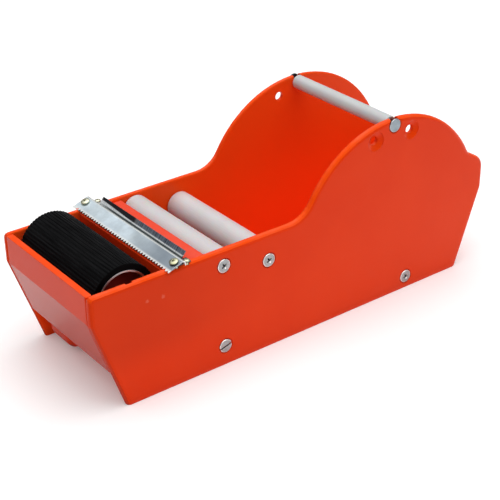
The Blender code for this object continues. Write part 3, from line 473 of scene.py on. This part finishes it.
def guide_steel():
    """Oily sheet steel whose lip carries a painted dark reflection, black along its top to the left
    of its middle and dark and streaky to the right, with a painted shade along its foot.
    """
    finish = Finish("oily_guide_steel", Metallic=0.6)
    web = finish.web
    cloudy = finish.group(CLOUDY, {"Cloud scale": 60.0, "Grain scale": 1600.0}, None)
    streak = finish.group(STREAKS, {"Stretch": (2.0, 140.0, 2.0), "Scale": 12.0})
    height = axis_of(finish, 2)
    along = axis_of(finish, 1)
    # Mask for a painted dark, streaky reflection on the lip's upright, right of its middle.
    dark_reflection = web.remap(along, 0.012, 0.002)
    colour = web.mix(cloudy[0], (0.84, 0.87, 0.89, 1), (0.92, 0.94, 0.96, 1))
    dark = web.mix(streak, (0.05, 0.065, 0.095, 1), (0.24, 0.28, 0.34, 1))
    upright = web.remap(height, LIP_REFLECTION_Z, LIP_REFLECTION_Z + 0.0006)
    colour = web.mix(web.math("MULTIPLY", dark_reflection, upright), colour, dark)
    # Painted shade in a dark band along the lip's foot.
    painted_foot_shade = web.remap(height, LIP_SHADE_Z + 0.0003, LIP_SHADE_Z - 0.0003)
    painted_foot_shade = web.math("MULTIPLY", painted_foot_shade, web.remap(along, 0.056, 0.035, 0.3, 0.95))
    colour = web.mix(painted_foot_shade, colour, (0.02, 0.035, 0.035, 1))
    # Painted dark reflection: a black band along the lip's top, left of its middle.
    reach = web.remap(along, 0.055, 0.010, 0.0020, 0.0030)
    rim = web.remap(web.math("ADD", height, reach), LIP_TOP_Z, LIP_TOP_Z + 0.0004)
    rim = web.math("MULTIPLY", rim, web.remap(along, 0.002, 0.010))
    colour = web.mix(rim, colour, (0.02, 0.02, 0.025, 1))
    finish.set("Base Color", colour)
    finish.set("Roughness", web.blend(streak, 0.26, 0.4))
    finish.relief(streak, 0.08, 0.0002, finish.rounded(0.0003))
    return finish.material


def head_steel(name, dull, bright, rim):
    """Screw heads that look sideways, with a painted highlight on the rim and painted shade in the
    recess.
    """
    finish = Finish(name, Metallic=1.0)
    web = finish.web
    cloudy = finish.group(CLOUDY, {"Cloud scale": 160.0, "Grain scale": 1600.0}, None)
    streak = finish.group(STREAKS, {"Stretch": (9.0, 9.0, 9.0), "Scale": 60.0})
    normal = web.add("ShaderNodeNewGeometry", output="True Normal")
    outward = web.math("ABSOLUTE", web.add("ShaderNodeSeparateXYZ", {0: normal}, 1))
    depth = web.math("SUBTRACT", HEAD_TOP_Y, web.math("ABSOLUTE", axis_of(finish, 1)))
    colour = web.mix(cloudy[0], (*dull, 1), (*bright, 1))
    # Painted highlight on the head's rim.
    colour = web.mix(web.remap(outward, 0.998, 0.96), colour, (*rim, 1))
    # Painted shade: the recess, and all that lies deeper than the head's rim, is darkened.
    colour = web.mix(web.remap(depth, 0.0006, 0.0010), colour, (0.03, 0.03, 0.035, 1))
    finish.set("Base Color", colour)
    finish.set("Roughness", web.blend(streak, 0.26, 0.38))
    finish.relief(streak, 0.06, 0.0002)
    return finish.material


def dark_plug_plastic():
    """Dark red plastic of the roller's end plugs, made dull by water."""
    finish = Finish("dark_red_plastic", Specular_IOR_Level=0.4)
    web = finish.web
    cloudy = finish.group(CLOUDY, {"Cloud scale": 60.0, "Grain scale": 900.0}, None)
    rounded = finish.rounded(0.0004)
    wear_and_edge = finish.group(WEAR, {"Rounded normal": rounded, "Reach": 0.2, "Break up": 300.0}, None)
    colour = web.mix(cloudy[0], (0.16, 0.012, 0.008, 1), (0.24, 0.02, 0.012, 1))
    colour = web.mix(web.math("MULTIPLY", wear_and_edge[0], 0.5), colour, (0.55, 0.16, 0.12, 1))
    finish.set("Base Color", colour)
    finish.set("Roughness", web.blend(cloudy[1], 0.4, 0.6))
    finish.relief(cloudy[1], 0.1, 0.0003, rounded)
    return finish.material


def pale_floor():
    """Plain pale table top with a trace of tone."""
    finish = Finish("pale_table", Specular_IOR_Level=0.0)
    web = finish.web
    cloudy = finish.group(CLOUDY, {"Cloud scale": 1.5, "Grain scale": 400.0}, None)
    finish.set("Base Color", web.mix(cloudy[0], (0.93, 0.93, 0.93, 1), (0.94, 0.94, 0.94, 1)))
    finish.set("Roughness", web.blend(cloudy[1], 0.85, 0.9))
    finish.set("Emission Color", web.mix(cloudy[1], (1, 1, 1, 1), (0.98, 0.98, 0.98, 1)))
    seen = web.add("ShaderNodeLightPath", output="Is Camera Ray")
    finish.set("Emission Strength", web.math("MULTIPLY", seen, TABLE_GLOW))
    return finish.material


ORANGE = orange_plastic()
RUBBER = ribbed_rubber()
WHITE = white_plastic()
PLUG = dark_plug_plastic()
BLADE_STEEL = blade_steel()
GUIDE_STEEL = guide_steel()
# The last colour given to each head finish is its painted rim highlight.
BLUED = head_steel(
    "dull_blue_steel", (0.26, 0.31, 0.34), (0.34, 0.39, 0.43), (0.55, 0.58, 0.60))
HEAD_STEEL = head_steel(
    "screw_steel", (0.34, 0.355, 0.36), (0.46, 0.475, 0.48), (0.95, 0.90, 0.88))
STEEL = brushed_metal(
    "turned_steel", (0.62, 0.63, 0.64), (0.74, 0.75, 0.77), (4.0, 40.0, 4.0), 0.28)
ZINC = brushed_metal(
    "yellow_zinc", (0.56, 0.56, 0.34), (0.74, 0.74, 0.60), (8.0, 8.0, 8.0), 0.25)

finishes = {
    "body_plastic": ORANGE, "rubber": RUBBER, "steel": STEEL, "roller_plastic": WHITE,
    "plug_plastic": PLUG, "blade_steel": BLADE_STEEL, "zinc": ZINC,
}
for part in frame["record"]["subparts"]:
    mesh = nodes[part["node"]].data
    mesh.materials.clear()
    finish = GUIDE_STEEL if part["node"] == "tape_guide" else finishes[part["material_slot"]]
    mesh.materials.append(finish)


# ------------------------------------------------------------ making pieces

def new_object(name, data):
    """An object that stands in the scene."""
    thing = bpy.data.objects.new(name, data)
    bpy.context.scene.collection.objects.link(thing)
    return thing


def closed_mesh(name, shape):
    """The mesh of a closed shape, with its faces turned outward."""
    bmesh.ops.recalc_face_normals(shape, faces=shape.faces)
    mesh = bpy.data.meshes.new(name)
    shape.to_mesh(mesh)
    shape.free()
    return mesh


def middle_of(node):
    """The middle of a CAD node's box."""
    low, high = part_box(node)
    return (low + high) / 2


def piece_from(name, mesh, material, angle=35):
    """Stands a finished mesh at the origin, smooth but for its sharp edges."""
    mesh.name = name
    mesh.materials.clear()
    mesh.materials.append(material)
    mesh.shade_smooth()
    mesh.set_sharp_from_angle(angle=radians(angle))
    return new_object(name, mesh)


def grown(name, tree, values, material, seed=None):
    """A plain mesh from a geometry tree whose inputs are set by name."""
    grower = new_object(name + "_grower", seed or bpy.data.meshes.new(name + "_seed"))
    modifier = grower.modifiers.new("grow", "NODES")
    modifier.node_group = tree
    values = {**values, "Finish": material}
    for item in tree.interface.items_tree:
        if item.item_type == "SOCKET" and item.in_out == "INPUT" and item.name in values:
            modifier[item.identifier] = values[item.name]
    graph = bpy.context.evaluated_depsgraph_get()
    mesh = bpy.data.meshes.new_from_object(grower.evaluated_get(graph))
    grower.modifiers.remove(modifier)
    bpy.data.objects.remove(grower)
    return mesh


def ribbed_sleeve_tree():
    """A tube along Y with rounded ribs along it and eased ends."""
    tree, web, given = new_group("ribbed_sleeve", "GeometryNodeTree", [
        ("Ribs", WHOLE, 60), ("Steps", WHOLE, 8), ("Radius", FLOAT, 0.02), ("Bore", FLOAT, 0.015),
        ("Half length", FLOAT, 0.05), ("Groove", FLOAT, 0.001), ("Groove share", FLOAT, 0.5),
        ("Ease", FLOAT, 0.0005), ("Finish", MATERIAL, None),
    ], [("Geometry", GEOMETRY)])
    ribs, steps, radius, bore, half, groove, share, ease, finish = given[:9]
    count = web.math("MULTIPLY", ribs, steps)
    ring = web.add("GeometryNodeCurvePrimitiveCircle", {"Resolution": count, "Radius": radius})
    index = web.add("GeometryNodeInputIndex")
    phase = web.math("FRACT", web.math("DIVIDE", index, steps))
    away = web.math("ABSOLUTE", web.math("MULTIPLY", web.math("SUBTRACT", phase, 0.5), 2.0))
    cut = web.remap(away, share, 0.0)
    place = web.add("GeometryNodeInputPosition")
    inward = web.add("ShaderNodeVectorMath", {0: place}, operation="NORMALIZE")
    depth = web.math("MULTIPLY", web.math("MULTIPLY", cut, groove), -1.0)
    shift = web.add("ShaderNodeVectorMath", {0: inward, "Scale": depth}, operation="SCALE")
    ring = web.add("GeometryNodeSetPosition", {"Geometry": ring, "Offset": shift})

    line = web.add("GeometryNodeMeshLine", {"Count": 4})
    back = web.math("MULTIPLY", half, -1.0)
    stops = [back, web.math("ADD", back, ease), web.math("SUBTRACT", half, ease), half]
    along = web.add("ShaderNodeCombineXYZ", {1: web.pick(index, stops)})
    line = web.add("GeometryNodeSetPosition", {"Geometry": line, "Position": along})
    line = web.add("GeometryNodeMeshToCurve", {0: line})
    narrow = web.math("SUBTRACT", 1.0, web.math("DIVIDE", ease, radius))
    line = web.add("GeometryNodeSetCurveRadius", {
        "Curve": line, "Radius": web.pick(index, [narrow, 1.0, 1.0, narrow]),
    })
    rod = web.add("GeometryNodeCurveToMesh", {
        "Curve": line, "Profile Curve": ring, "Fill Caps": True,
    })
    core = web.add("GeometryNodeMeshCylinder", {
        "Vertices": SLEEVE_BORE_SIDES, "Radius": bore, "Depth": web.math("MULTIPLY", half, 4.0),
    })
    core = web.add("GeometryNodeTransform", {"Geometry": core, "Rotation": (pi / 2, 0, 0)})
    cut_rod = web.add("GeometryNodeMeshBoolean", {
        "Mesh 1": rod, "Mesh 2": core,
    }, operation="DIFFERENCE", solver="EXACT")
    whole = web.add("GeometryNodeRealizeInstances", {0: cut_rod})
    give(web, geometry=web.add("GeometryNodeSetMaterial", {"Geometry": whole, "Material": finish}))
    return tree


def make_sleeve():
    """The wetting roller's rubber sleeve."""
    low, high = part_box("wetting_sleeve")
    tube_low, tube_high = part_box("wetting_tube")
    mesh = grown("ribbed_sleeve", ribbed_sleeve_tree(), {
        "Ribs": RIB_COUNT, "Steps": RIB_STEPS, "Radius": (high.x - low.x) / 2,
        "Bore": (tube_high.x - tube_low.x) / 2 + SLEEVE_PLAY, "Half length": (high.y - low.y) / 2,
        "Groove": RIB_GROOVE, "Groove share": RIB_GROOVE_SHARE, "Ease": SLEEVE_EASE,
    }, RUBBER)
    mesh.transform(Matrix.Translation(middle_of("wetting_sleeve")))
    sleeve = piece_from("ribbed_sleeve", mesh, RUBBER, 50)
    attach(sleeve, "wetting_roller")
    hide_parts("wetting_sleeve")


def toothed_blade_tree():
    """A sheet bent over a ridge, with a comb of teeth along its front edge.

    The profile lies in a curve's own plane, where its height counts downward.
    """
    tree, web, given = new_group("toothed_blade", "GeometryNodeTree", [
        ("Pitch", FLOAT, 0.003), ("Teeth", WHOLE, 30), ("Depth", FLOAT, 0.002),
        ("Start", FLOAT, -0.05), ("Half width", FLOAT, 0.06), ("Leaf", FLOAT, 0.014),
        ("Tilt", FLOAT, 0.3), ("Foot X", FLOAT, 0.014), ("Foot Z", FLOAT, 0.001),
        ("Bend", FLOAT, 0.001), ("Finish", MATERIAL, None),
    ], [("Geometry", GEOMETRY)])
    pitch, teeth, depth, start, half, leaf, tilt, foot_x, foot_z, bend, finish = given[:11]
    index = web.add("GeometryNodeInputIndex")
    flat, rise = web.math("COSINE", tilt), web.math("SINE", tilt)
    behind = web.math("ADD", depth, TOOTH_ROOT)
    ahead = [web.math("MULTIPLY", run, flat) for run in (behind, leaf)]
    above = [web.math("MULTIPLY", run, rise) for run in (behind, leaf)]
    line = web.add("GeometryNodeMeshLine", {"Count": 4})
    height = web.pick(index, [0.0, above[0], above[1], foot_z])
    side = web.add("ShaderNodeCombineXYZ", {
        0: web.pick(index, [0.0, ahead[0], ahead[1], foot_x]), 1: web.math("MULTIPLY", height, -1.0),
    })
    line = web.add("GeometryNodeSetPosition", {"Geometry": line, "Position": side})
    line = web.add("GeometryNodeMeshToCurve", {0: line})
    at_ridge = web.same(index, 2)
    radius = web.math("MULTIPLY", bend, at_ridge)
    line = web.add("GeometryNodeFilletCurve", {
        "Curve": line, "Radius": radius, "Count": 5,
    }, mode="POLY")

    stops = web.math("ADD", web.math("MULTIPLY", teeth, 2.0), 3.0)
    path = web.add("GeometryNodeMeshLine", {"Count": stops})
    along = web.math("MULTIPLY", web.math("SUBTRACT", index, 1.0), web.math("MULTIPLY", pitch, 0.5))
    along = web.math("ADD", start, along)
    first = web.same(index, 0)
    last = web.same(index, web.math("SUBTRACT", stops, 1.0))
    along = web.blend(first, along, web.math("MULTIPLY", half, -1.0))
    along = web.blend(last, along, half)
    spot = web.add("ShaderNodeCombineXYZ", {1: along})
    path = web.add("GeometryNodeSetPosition", {"Geometry": path, "Position": spot})
    path = web.add("GeometryNodeMeshToCurve", {0: path})
    sheet = web.add("GeometryNodeCurveToMesh", {"Curve": path, "Profile Curve": line})

    place = web.add("GeometryNodeInputPosition")
    parts = web.add("ShaderNodeSeparateXYZ", {0: place}, None)
    step = web.math("DIVIDE", web.math("SUBTRACT", parts.outputs[1], start), pitch)
    at_valley = web.math("COMPARE", web.math("FRACT", step), 0.5, 0.2)
    halfway = web.math("MULTIPLY", teeth, 0.5)
    inside = web.math("COMPARE", step, halfway, halfway)
    front = web.math("LESS_THAN", web.math("ABSOLUTE", parts.outputs[0]), 0.0001)
    cut = web.math("MULTIPLY", at_valley, inside)
    move = web.math("MULTIPLY", cut, web.math("MULTIPLY", front, depth))
    shift = web.add("ShaderNodeCombineXYZ", {
        0: web.math("MULTIPLY", move, flat), 2: web.math("MULTIPLY", move, rise),
    })
    sheet = web.add("GeometryNodeSetPosition", {"Geometry": sheet, "Offset": shift})
    give(web, geometry=web.add("GeometryNodeSetMaterial", {
        "Geometry": web.add("GeometryNodeRealizeInstances", {0: sheet}), "Material": finish,
    }))
    return tree


def make_blade():
    """The tear blade, with a rounded ridge."""
    low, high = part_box("tear_blade")
    lift = Vector((-sin(BLADE_TILT), 0, cos(BLADE_TILT))) * BLADE_THICKNESS
    front = Vector((low.x - lift.x, 0, plate_top() + SEAT_GAP))
    rise = BLADE_LEAF * sin(BLADE_TILT)
    foot_x = BLADE_LEAF * cos(BLADE_TILT) + (rise - BLADE_FOOT_LIFT) * tan(BLADE_FLANGE_LEAN)
    mesh = grown("toothed_blade", toothed_blade_tree(), {
        "Pitch": TOOTH_PITCH, "Teeth": TOOTH_COUNT, "Depth": TOOTH_DEPTH,
        "Start": low.y + TOOTH_RIGHT_MARGIN, "Half width": (high.y - low.y) / 2,
        "Leaf": BLADE_LEAF, "Tilt": BLADE_TILT, "Foot X": foot_x, "Foot Z": BLADE_FOOT_LIFT,
        "Bend": BLADE_BEND_ROUND,
    }, BLADE_STEEL)
    mesh.transform(Matrix.Translation(front))
    blade = piece_from("toothed_blade", mesh, BLADE_STEEL, 40)
    thicken = blade.modifiers.new("thickness", "SOLIDIFY")
    thicken.thickness = BLADE_THICKNESS
    thicken.offset = 1
    thicken.use_even_offset = True
    apply_modifiers(blade)
    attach(blade, "frame")
    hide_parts("tear_blade")


def plate_top():
    """Height of the side plates' level top edge, below the guide sheet's underside."""
    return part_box("tape_guide")[0].z - SEAT_GAP


def apply_modifiers(piece):
    """Turns what a piece's modifiers make into its own mesh."""
    graph = bpy.context.evaluated_depsgraph_get()
    mesh = bpy.data.meshes.new_from_object(piece.evaluated_get(graph))
    piece.modifiers.clear()
    piece.data = mesh
    mesh.shade_smooth()
    mesh.set_sharp_from_angle(angle=radians(35))


# -------------------------------------------------------------------- screws

def turned_mesh(name, profile, sides):
    """A solid turned round Z from (radius, height) points that start and end on the axis."""
    shape = bmesh.new()
    rings = []
    for radius, height in profile:
        count = sides if radius else 1
        angles = [2 * pi * index / count for index in range(count)]
        rings.append([shape.verts.new((radius * cos(a), radius * sin(a), height)) for a in angles])
    for first, second in zip(rings, rings[1:]):
        for index in range(sides):
            after = (index + 1) % sides
            corners = [first[index % len(first)], first[after % len(first)]]
            corners += [second[after % len(second)], second[index % len(second)]]
            shape.faces.new(list(dict.fromkeys(corners)))
    return closed_mesh(name, shape)


def recess_mesh(name, arm, width, depth, above, slotted):
    """A tapered cross or a straight slot that cuts a driver's recess."""
    shape = bmesh.new()
    for turn in (0,) if slotted else (0, pi / 2):
        corners = []
        for height, share in ((above, 1.0), (-depth, 1.0 if slotted else 0.35)):
            for side, edge in ((-1, -1), (1, -1), (1, 1), (-1, 1)):
                x, y = side * arm * share, edge * width / 2
                around = (x * cos(turn) - y * sin(turn), x * sin(turn) + y * cos(turn))
                corners.append(shape.verts.new((*around, height)))
        shape.faces.new(corners[:4])
        shape.faces.new(corners[4:])
        for index in range(4):
            after = (index + 1) % 4
            shape.faces.new((corners[index], corners[after], corners[4 + after], corners[4 + index]))
    return closed_mesh(name, shape)


def screw_model(name, profile, arm, width, depth, above, slotted=False):
    """One screw, head up, with its recess cut out where it has one."""
    screw = new_object(name, turned_mesh(name, profile, SCREW_SIDES))
    if arm:
        hollow = recess_mesh(name, arm, width, depth, above, slotted)
        cutter = new_object(name + "_recess", hollow)
        cut = screw.modifiers.new("recess", "BOOLEAN")
        cut.operation, cut.solver, cut.object, cut.use_self = "DIFFERENCE", "EXACT", cutter, True
        apply_modifiers(screw)
        bpy.data.objects.remove(cutter)
    return screw


def screw_tree():
    """Copies one screw to every point, along the point's axis, turned by chance within limits."""
    tree, web, given = new_group("set_of_screws", "GeometryNodeTree", [
        ("Geometry", GEOMETRY, None), ("Screw", THING, None), ("Seed", WHOLE, 1),
        ("Least turn", FLOAT, 0.0), ("Most turn", FLOAT, 2 * pi), ("Finish", MATERIAL, None),
    ], [("Geometry", GEOMETRY)])
    places, screw, seed, least, most, finish = given[:6]
    axis = web.add("GeometryNodeInputNamedAttribute", {"Name": "axis"}, data_type="FLOAT_VECTOR")
    turn = web.add("FunctionNodeAlignRotationToVector", {"Vector": axis}, axis="Z")
    model = web.add("GeometryNodeObjectInfo", {"Object": screw}, "Geometry")
    copies = web.add("GeometryNodeInstanceOnPoints", {
        "Points": places, "Instance": model, "Rotation": turn,
    })
    chance = web.add("FunctionNodeRandomValue", {2: least, 3: most, "Seed": seed}, 1)
    spin = web.add("ShaderNodeCombineXYZ", {2: chance})
    copies = web.add("GeometryNodeRotateInstances", {
        "Instances": copies, "Rotation": spin, "Local Space": True,
    })
    whole = web.add("GeometryNodeRealizeInstances", {0: copies})
    give(web, geometry=web.add("GeometryNodeSetMaterial", {"Geometry": whole, "Material": finish}))
    return tree


SCREW_TREE = screw_tree()


def set_of_screws(name, model, places, material, replaced, seed, turns=(0.0, 2 * pi)):
    """One piece with a copy of a screw at each (point, axis)."""
    mesh = bpy.data.meshes.new(name + "_places")
    mesh.from_pydata([tuple(point) for point, axis in places], [], [])
    axes = mesh.attributes.new("axis", "FLOAT_VECTOR", "POINT")
    for index, (point, axis) in enumerate(places):
        axes.data[index].vector = axis
    made = grown(name, SCREW_TREE, {
        "Screw": model, "Seed": seed, "Least turn": turns[0], "Most turn": turns[1],
    }, material, mesh)
    piece = piece_from(name, made, material, 30)
    bpy.data.objects.remove(model)
    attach(piece, "frame")
    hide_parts(*replaced)


def head_place(node, side):
    """The middle of a side screw's head, and the way that it looks."""
    low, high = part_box(node)
    middle = (low + high) / 2
    return Vector((middle.x, low.y if side < 0 else high.y, middle.z)), Vector((0, side, 0))


def side_screw_profile(reach, shank):
    """Countersunk head with an eased rim, on its shank."""
    radius, rim, ease = SCREW_HEAD_RADIUS, SCREW_HEAD_RIM, SCREW_HEAD_EASE
    return [
        (0, 0), (radius - ease * 1.8, 0), (radius - ease, -ease * 0.08),
        (radius - ease * 0.4, -ease * 0.35), (radius, -ease), (radius, -rim),
        (shank, -rim - SCREW_CONE_HEIGHT), (shank, -reach), (0, -reach),
    ]


def pan_screw_profile(radius):
    """Domed head with a flat seat, on its shank."""
    height, shank, reach = SMALL_SCREW_HEIGHT, SMALL_SCREW_SHANK, SMALL_SCREW_REACH
    shares = (0.2, 0.45, 0.7, 0.9)
    dome = [(radius * sqrt(share), height * (1 - 0.62 * share ** 1.6)) for share in shares]
    rest = [(radius, height * 0.3), (radius, 0), (shank, 0), (shank, -reach), (0, -reach)]
    return [(0, height)] + dome + rest


def ends_of(kind):
    """The right and the left screw of a kind, each with the side that it looks to."""
    return [(kind + "_right", -1), (kind + "_left", 1)]


def make_screws():
    """All the screws, in sets of one kind."""
    roller = ends_of("front_roller_screw") + ends_of("rear_roller_screw")
    sets = (
        ("roller_screws", roller, ROLLER_SCREW, CROSS_RECESS, False, 27),
        ("top_roller_screws", ends_of("top_roller_screw"), ROLLER_SCREW, NO_RECESS, False, 0),
        ("slotted_floor_screws", ends_of("floor_front_screw"), FLOOR_SCREW, SLOT_RECESS, True, 15),
        ("crossed_floor_screws", ends_of("floor_rear_screw"), FLOOR_SCREW, CROSS_RECESS, False, 20),
    )
    for seed, (name, group, shape, recess, slotted, turn) in enumerate(sets):
        profile = side_screw_profile(*shape)
        model = screw_model(name + "_model", profile, *recess, RECESS_ABOVE, slotted)
        places = [head_place(node, side) for node, side in group]
        finish = BLUED if recess is NO_RECESS else HEAD_STEEL
        turns = radians(turn), radians(turn + TURN_PLAY)
        replaced = [node for node, side in group]
        set_of_screws(name, model, places, finish, replaced, seed, turns)

    tilted = Vector((-sin(BLADE_TILT), 0, cos(BLADE_TILT)))
    upright = Vector((0, 0, 1))
    for kind, axis, radius, seed in (
        ("blade_screw", tilted, BLADE_SCREW_HEAD, 11),
        ("guide_screw", upright, GUIDE_SCREW_HEAD, 13),
    ):
        name = kind + "s"
        model = screw_model(name + "_model", pan_screw_profile(radius), radius * 0.6, *SMALL_RECESS)
        replaced = [node for node, side in ends_of(kind)]
        places = [(seat_of(nodes[node], axis), axis) for node in replaced]
        set_of_screws(name, model, places, ZINC, replaced, seed)


def seat_of(thing, axis):
    """Where the underside of a small screw's head lies on its axis."""
    points = [vertex.co.copy() for vertex in thing.data.vertices]
    top = max(points, key=lambda p: p.dot(axis)).dot(axis)
    ring = [p for p in points if top - p.dot(axis) < 0.0001]
    centre = sum(ring, Vector()) / len(ring)
    return centre - axis * SMALL_SCREW_CAD_HEIGHT


make_sleeve()
make_blade()
make_screws()


# ------------------------------------------------------- light, floor, camera

def area_light(name, place, target, size, power):
    """A soft rectangular light that looks at a point."""
    lamp = bpy.data.lights.new(name, "AREA")
    lamp.shape = "RECTANGLE"
    lamp.size, lamp.size_y = size
    lamp.energy = power
    holder = new_object(name, lamp)
    holder.location = place
    aim = Vector(target) - Vector(place)
    holder.rotation_euler = aim.to_track_quat("-Z", "Y").to_euler()


def make_studio():
    """Floor, world and lights of a plain product shot."""
    shape = bmesh.new()
    bmesh.ops.create_grid(shape, x_segments=8, y_segments=8, size=TABLE_HALF)
    mesh = bpy.data.meshes.new("table")
    shape.to_mesh(mesh)
    shape.free()
    table = piece_from("table", mesh, pale_floor())

    world = bpy.data.worlds.new("studio")
    bpy.context.scene.world = world
    world.use_nodes = True
    web = Web(world.node_tree)
    direction = web.add("ShaderNodeTexCoord", output="Generated")
    height = web.add("ShaderNodeSeparateXYZ", {0: direction}, 2)
    sky = world.node_tree.nodes["Background"]
    sky.inputs["Color"].default_value = (1.0, 1.0, 1.0, 1)
    seen = web.add("ShaderNodeLightPath", output="Is Camera Ray")
    light = web.blend(seen, web.remap(height, *SKY_BAND, *SKY_LIGHT), 1.0)
    world.node_tree.links.new(light, sky.inputs["Strength"])

    area_light("top_softbox", SOFTBOX_PLACE, SOFTBOX_TARGET, SOFTBOX_SIZE, SOFTBOX_WATTS)


def make_camera():
    """The photograph's point of view."""
    yaw, pitch = CAMERA_YAW, CAMERA_PITCH
    back = Vector((sin(yaw) * cos(pitch), -cos(yaw) * cos(pitch), sin(pitch)))
    right = (-back).cross(Vector((0, 0, 1))).normalized()
    up = right.cross(-back)
    turned_right = right * cos(CAMERA_ROLL) + up * sin(CAMERA_ROLL)
    turned_up = up * cos(CAMERA_ROLL) - right * sin(CAMERA_ROLL)
    lens = bpy.data.cameras.new("camera")
    lens.lens = CAMERA_LENS
    lens.sensor_width = 36
    lens.shift_x, lens.shift_y = CAMERA_SHIFT
    lens.clip_start, lens.clip_end = 0.05, 20
    camera = new_object("camera", lens)
    turn = Matrix((turned_right, turned_up, back)).transposed().to_4x4()
    camera.matrix_world = Matrix.Translation(CAMERA_PLACE) @ turn
    bpy.context.scene.camera = camera


make_studio()
make_camera()
bpy.context.scene.view_settings.view_transform = "Standard"
